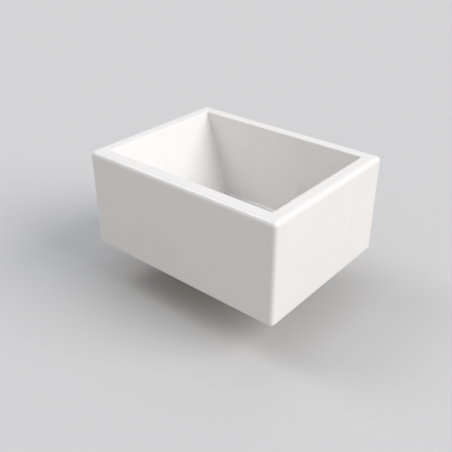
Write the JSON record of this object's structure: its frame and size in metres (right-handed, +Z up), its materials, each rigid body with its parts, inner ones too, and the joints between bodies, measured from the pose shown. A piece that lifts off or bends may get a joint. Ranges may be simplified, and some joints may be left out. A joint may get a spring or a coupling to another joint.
{
  "type": "wall-hung wash trough",
  "caption": "Deep rectangular fireclay wash trough with sloping ends, hung on welded wall brackets, with a basket strainer waste.",
  "frame": {"origin": "on the wall plane, at the centre of the four wall bolts", "axes": "+X along the wall to the right seen from the front, +Y into the wall, +Z up; the front faces -Y"},
  "size_m": [0.595, 0.455, 0.385],
  "materials": {
    "glazed_fireclay": "glossy white glaze, bare clay underneath and behind",
    "polished_steel": "bright stainless steel",
    "chromed_brass": "bright chrome",
    "cast_zinc": "die-cast, dull",
    "black_rubber": "moulded, satin",
    "pad_rubber": "sheet rubber, dull",
    "grey_foam": "closed-cell foam",
    "fibre": "pressed fibre, dull",
    "white_plastic": "translucent white, satin",
    "powder_coat": "light grey powder coat on steel"
  },
  "bodies": {
    "trough": {"basin": "glazed_fireclay", "strainer_body": "polished_steel", "outlet_cross": "polished_steel", "flange_seal": "grey_foam", "base_seal": "black_rubber", "slip_washer": "fibre", "lock_nut": "cast_zinc", "tailpiece_washer": "white_plastic", "tailpiece": "chromed_brass", "coupling_nut": "chromed_brass", "wall_plate_left": "powder_coat", "wall_plate_right": "powder_coat", "bearer_arm_left": "powder_coat", "bearer_arm_right": "powder_coat", "gusset_left": "powder_coat", "gusset_right": "powder_coat", "bearing_pad_left": "pad_rubber", "bearing_pad_right": "pad_rubber"},
    "basket": {"basket": "polished_steel", "post_clip": "polished_steel"},
    "stopper": {"stopper_post": "polished_steel", "stopper_knob": "chromed_brass", "stopper_washer": "polished_steel", "stopper_seal": "black_rubber", "stopper_nut": "chromed_brass"}
  },
  "joints": [
    {"name": "basket_lift", "type": "slide", "parent": "trough", "child": "basket", "axis": [0, 0, 1], "range_m": [0, 0.3]},
    {"name": "stopper_pull", "type": "slide", "parent": "basket", "child": "stopper", "axis": [0, 0, 1], "range_m": [0, 0.008]}
  ]
}
